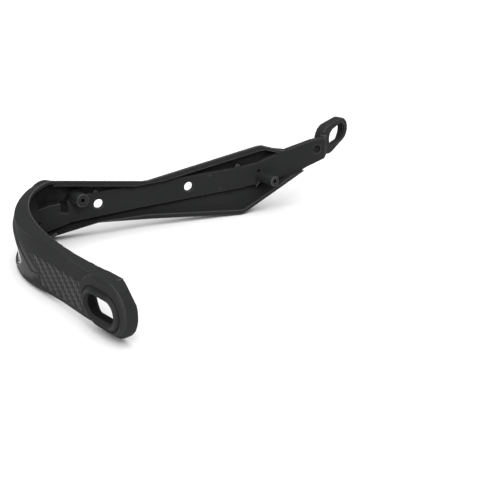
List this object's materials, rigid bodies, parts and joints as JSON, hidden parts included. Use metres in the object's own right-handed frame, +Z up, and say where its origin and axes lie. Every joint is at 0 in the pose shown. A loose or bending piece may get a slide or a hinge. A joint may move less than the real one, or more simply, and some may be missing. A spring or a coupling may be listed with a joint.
{
  "type": "motorcycle hand guard",
  "caption": "U-shaped moulded guard that wraps round a motorcycle grip, slotted at the bar end and at the inner end.",
  "frame": {"origin": "middle of the bar-end slot, on its seat inside the pad", "axes": "+X along the handlebar towards the middle of the motorcycle, +Y forwards, +Z up"},
  "size_m": [0.2843, 0.1694, 0.0541],
  "materials": {
    "shell_plastic": "satin black, fine texture"
  },
  "bodies": {
    "root": {"guard_body": "shell_plastic"}
  },
  "joints": []
}
